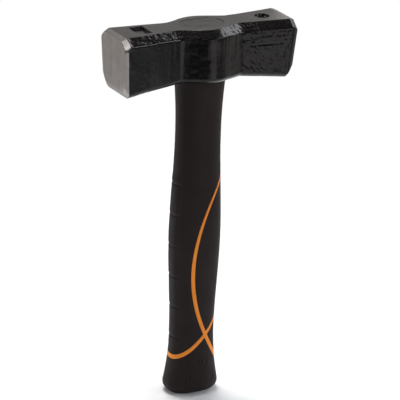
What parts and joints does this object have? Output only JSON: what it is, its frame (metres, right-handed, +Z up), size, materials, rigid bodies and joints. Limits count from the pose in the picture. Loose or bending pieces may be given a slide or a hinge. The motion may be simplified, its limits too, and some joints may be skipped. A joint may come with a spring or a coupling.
{
  "type": "sledgehammer",
  "caption": "Short-handled sledgehammer with a forged double-faced head potted onto a fibre-core handle with a two-colour soft grip.",
  "frame": {"origin": "centre of the butt's resting face, on the handle's axis", "axes": "+Z up the handle to the head, X along the head from face to face with the palm side of the handle towards +X, Y across the head"},
  "size_m": [0.1498, 0.052, 0.3],
  "materials": {
    "head_lacquer": "glossy black lacquer over forged steel, bare ground steel on the striking faces",
    "eye_resin": "dark cured resin, lacquered over",
    "seal_rubber": "matte black rubber",
    "core_fibre": "resin-bonded glass fibre",
    "jacket_orange": "satin orange hard plastic",
    "soft_grip": "fine-grained matte black soft plastic",
    "plug_plastic": "matte black plastic"
  },
  "bodies": {
    "root": {"hammer_head": "head_lacquer", "eye_potting": "eye_resin", "eye_seal": "seal_rubber", "handle_core": "core_fibre", "handle_jacket": "jacket_orange", "front_grip": "soft_grip", "palm_pad": "soft_grip", "heel_pad": "soft_grip", "butt_grip": "soft_grip", "butt_plug": "plug_plastic"}
  },
  "joints": []
}
